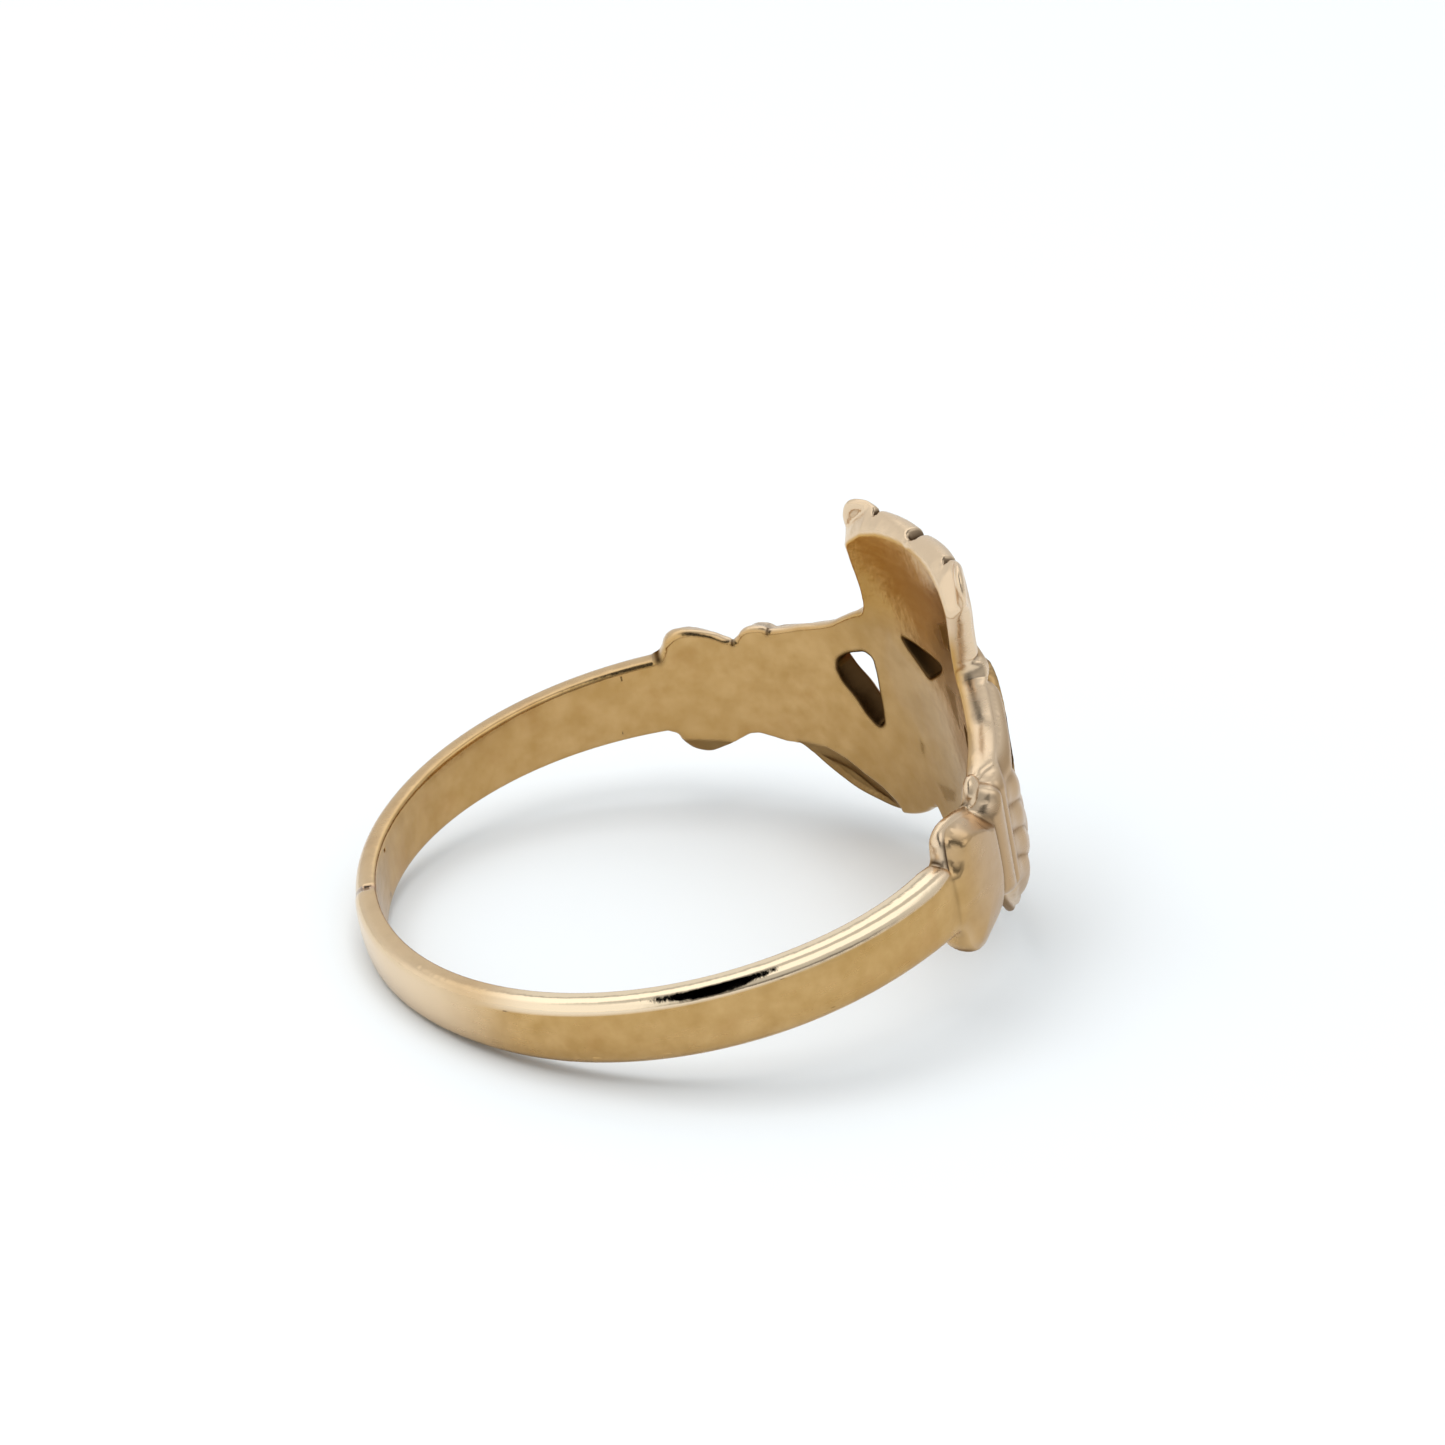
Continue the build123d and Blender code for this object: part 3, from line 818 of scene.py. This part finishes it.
class Nodes:
    """A material's or world's node tree, with short calls to add and join nodes."""

    def __init__(self, owner, shader):
        owner.use_nodes = True
        self.owner = owner
        self.tree = owner.node_tree
        self.shader = self.tree.nodes[shader]

    def add(self, kind, inputs=(), **settings):
        """A new node with its settings, its inputs filled from values or joined from sockets."""
        node = self.tree.nodes.new(kind)
        for key, value in settings.items():
            setattr(node, key, value)
        for key, value in dict(inputs).items():
            self.put(node.inputs[key], value)
        return node

    def put(self, socket, value):
        """Fills a socket with a value, or joins another socket to it."""
        if isinstance(value, bpy.types.NodeSocket):
            self.tree.links.new(value, socket)
        else:
            socket.default_value = value

    def noise(self, vector, scale, detail=3.0, roughness=0.5):
        """Soft random values from 0 to 1 over a vector."""
        return self.add("ShaderNodeTexNoise", {"Vector": vector, "Scale": scale, "Detail": detail,
                                               "Roughness": roughness}).outputs["Fac"]

    def scaled(self, vector, scale):
        """A vector stretched by a factor along each axis."""
        return self.add("ShaderNodeMapping", {"Vector": vector, "Scale": scale}).outputs["Vector"]

    def between(self, value, low, high, to_low=0.0, to_high=1.0):
        """A value carried from one range to another, and kept within it."""
        return self.add("ShaderNodeMapRange", {"Value": value, "From Min": low, "From Max": high,
                                               "To Min": to_low, "To Max": to_high}).outputs["Result"]

    def math(self, operation, a, b=0.0):
        """Arithmetic on two values."""
        node = self.add("ShaderNodeMath", operation=operation)
        self.put(node.inputs[0], a)
        self.put(node.inputs[1], b)
        return node.outputs[0]

    def times(self, a, b):
        """The product of two values."""
        return self.math("MULTIPLY", a, b)

    def plus(self, value, parts):
        """A value with others added to it, each times its own weight."""
        for part, weight in parts:
            value = self.math("ADD", value, self.times(part, weight))
        return value

    def mix(self, share, a, b):
        """A colour between two others."""
        node = self.add("ShaderNodeMix", data_type="RGBA")
        self.put(node.inputs["Factor"], share)
        self.put(node.inputs["A"], a)
        self.put(node.inputs["B"], b)
        return node.outputs["Result"]

    def toward(self, vector, way):
        """Cosine of the angle between a direction and a fixed one of any length."""
        node = self.add("ShaderNodeVectorMath", operation="DOT_PRODUCT")
        self.put(node.inputs[0], vector)
        self.put(node.inputs[1], Vector(way).normalized())
        return node.outputs["Value"]

    def attribute(self, name):
        """A value that the mesh carries."""
        return self.add("ShaderNodeAttribute", attribute_name=name).outputs["Fac"]


def new_material(name):
    """A new material with its Principled shader."""
    return Nodes(bpy.data.materials.new(name), "Principled BSDF")


def gold_material():
    """Worn yellow gold: satin and a little hammered on its faces, polished on the shank's near edge, duller
    on the outside of the head, and pale on the edges. The pale edges are wear, with a painted highlight on
    the upper edges, along the near shank's polished edge and on the shank's back. The crown's inside carries
    a painted reflection of the ring's own inside, and a patch in the heart a paler painted reflection.
    Creases, the bevels below the hands and the walls of the openings are dark with painted shade, and the
    solder at the sizing joint is rosy.
    """
    nodes = new_material("worn_gold")
    place = nodes.add("ShaderNodeTexCoord").outputs["Object"]
    flat = nodes.add("ShaderNodeUVMap", uv_map="map").outputs["UV"]
    height = nodes.add("ShaderNodeSeparateXYZ", {"Vector": flat}).outputs["Y"]
    pale, shine, painted_shade, inside, head, joint = (
        nodes.attribute(name) for name in ("pale", "shine", "painted_shade", "inside", "head", "joint"))
    outside = nodes.math("SUBTRACT", 1.0, inside)
    mottle = nodes.between(nodes.noise(place, 1500, 3), 0.3, 0.7)
    cloud = nodes.between(nodes.noise(place, 260, 2), 0.35, 0.65)
    blotch = nodes.between(nodes.noise(place, 620, 4, 0.6), 0.55, 0.72)
    # The crown's inside: a painted reflection of the ring's own inside, orange-brown
    crown = nodes.times(nodes.between(height, 2.6, 3.6), inside)
    colour = nodes.mix(mottle, gold_deep, gold_light)
    for share, over in [(nodes.times(cloud, 0.35), gold_cloud),
                        (nodes.times(blotch, 0.3), gold_blotch),
                        (nodes.times(crown, 0.6), crown_reflection_gold),
                        (nodes.times(nodes.times(head, outside), 0.85), gold_dull),
                        (pale, gold_pale),
                        (shine, gold_polish_highlight),
                        (nodes.times(joint, 0.6), solder),
                        (nodes.times(painted_shade, 0.97), shade_brown)]:
        colour = nodes.mix(share, colour, over)
    nodes.put(nodes.shader.inputs["Base Color"], colour)
    nodes.shader.inputs["Metallic"].default_value = 1.0
    # Where shade is painted, the reflections are tinted brown as well
    nodes.put(nodes.shader.inputs["Specular Tint"], nodes.mix(painted_shade, (1, 1, 1, 1), shade_glance))
    brushed = nodes.noise(nodes.scaled(flat, (0.9, 4, 1)), 1.0, 3)
    grain = nodes.noise(place, 5200, 3)
    hammered = nodes.noise(place, 2400, 2)
    waves = nodes.noise(place, 900, 2)
    rough = nodes.between(brushed, 0.3, 0.7, 0.18, 0.26)
    rough = nodes.plus(rough, [(outside, 0.08), (painted_shade, 0.25), (shine, -0.23)])
    nodes.put(nodes.shader.inputs["Roughness"], nodes.between(rough, 0.05, 1, 0.05, 1))
    unworn = nodes.between(shine, 0, 1, 0.9, 0.2)
    dents = nodes.plus(nodes.times(brushed, 0.1), [(grain, 0.3), (waves, 1.2), (hammered, unworn)])
    dents = nodes.plus(dents, [(joint, -1.5)])
    relief = nodes.add("ShaderNodeBump", {"Height": dents, "Strength": 0.6, "Distance": 0.00002})
    nodes.put(nodes.shader.inputs["Normal"], relief.outputs["Normal"])
    return nodes.owner


def floor_material():
    """A plain matt surface, almost white."""
    nodes = new_material("pale_floor")
    nodes.shader.inputs["Base Color"].default_value = (0.70, 0.72, 0.73, 1)
    nodes.shader.inputs["Roughness"].default_value = 0.85
    nodes.shader.inputs["Specular IOR Level"].default_value = 0.2
    return nodes.owner


def make_floor():
    """A level square far larger than the ring, at the height that it lies on."""
    half = 0.9
    mesh = bpy.data.meshes.new("floor")
    corners = [(-half, -half, 0), (half, -half, 0), (half, half, 0), (-half, half, 0)]
    mesh.from_pydata(corners, [], [(0, 1, 2, 3)])
    mesh.materials.append(floor_material())
    floor = bpy.data.objects.new("floor", mesh)
    bpy.context.scene.collection.objects.link(floor)


def make_camera():
    """A long lens at the photograph's angle and distance."""
    data = bpy.data.cameras.new("camera")
    data.sensor_width = 36
    data.lens = camera_lens
    data.clip_start, data.clip_end = 0.01, 10
    camera = bpy.data.objects.new("camera", data)
    camera.location = [value * mm for value in camera_place]
    camera.rotation_euler = [radians(turn) for turn in camera_turns]
    bpy.context.scene.collection.objects.link(camera)
    bpy.context.scene.camera = camera


def make_light():
    """A pale room that is brightest in two bands over the ring, and a large soft lamp overhead.

    The room's brightness goes by the angle round the X axis, and is even at the room's left and right
    ends. The colour ramp holds half of it, since a ramp's colours end at 1. The dark patch is a long
    ellipse from overhead towards the camera, which the polished edge of the shank mirrors.
    """
    nodes = Nodes(bpy.data.worlds.new("studio"), "Background")
    bpy.context.scene.world = nodes.owner
    way = nodes.add("ShaderNodeTexCoord").outputs["Generated"]
    parts = nodes.add("ShaderNodeSeparateXYZ", {"Vector": way}).outputs
    angle = nodes.math("DIVIDE", nodes.math("ARCTAN2", parts["Z"], parts["Y"]), np.pi)
    profile = nodes.add("ShaderNodeValToRGB", {"Fac": angle})
    stops = profile.color_ramp.elements
    for degrees, _ in room_profile[1:-1]:
        stops.new(degrees / 180)
    for stop, (_, level) in zip(stops, room_profile):
        stop.color = (level / 2, level / 2, level / 2, 1)
    bands = nodes.times(profile.outputs["Color"], 2.0)
    aside = nodes.between(nodes.math("ABSOLUTE", parts["X"]), 0.5, 0.75)
    ends = nodes.between(parts["X"], -0.2, 0.2, room_left, room_right)
    room = nodes.add("ShaderNodeMix", {"Factor": aside, "A": bands, "B": ends}).outputs["Result"]
    middle = Vector(dark_middle).normalized()
    across = middle.cross(Vector(dark_way)).normalized()
    along = across.cross(middle)
    length = nodes.math("POWER", nodes.math("DIVIDE", nodes.toward(way, along), dark_length), 2.0)
    width = nodes.math("POWER", nodes.math("DIVIDE", nodes.toward(way, across), dark_width), 2.0)
    clear = nodes.between(nodes.math("ADD", length, width), 0.75, 1.2)
    nodes.put(nodes.shader.inputs["Strength"], nodes.times(room, clear))
    nodes.shader.inputs["Color"].default_value = room_tint

    data = bpy.data.lights.new("lamp", "AREA")
    data.size = lamp_size
    data.energy = lamp_power
    lamp = bpy.data.objects.new("lamp", data)
    lamp.location = Vector(lamp_way) * lamp_distance
    lamp.rotation_euler = Vector(lamp_way).to_track_quat("Z", "Y").to_euler()
    lamp.visible_glossy = False
    bpy.context.scene.collection.objects.link(lamp)


def make_ring():
    """The ring's skin, in place of the plain solid."""
    ring = mesh_object("ring_skin", *ring_skin())
    ring.data.materials.append(gold_material())
    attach(ring, "root")
    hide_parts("ring")


make_camera()
make_light()
make_floor()
make_ring()
bpy.context.scene.view_settings.view_transform = "Standard"
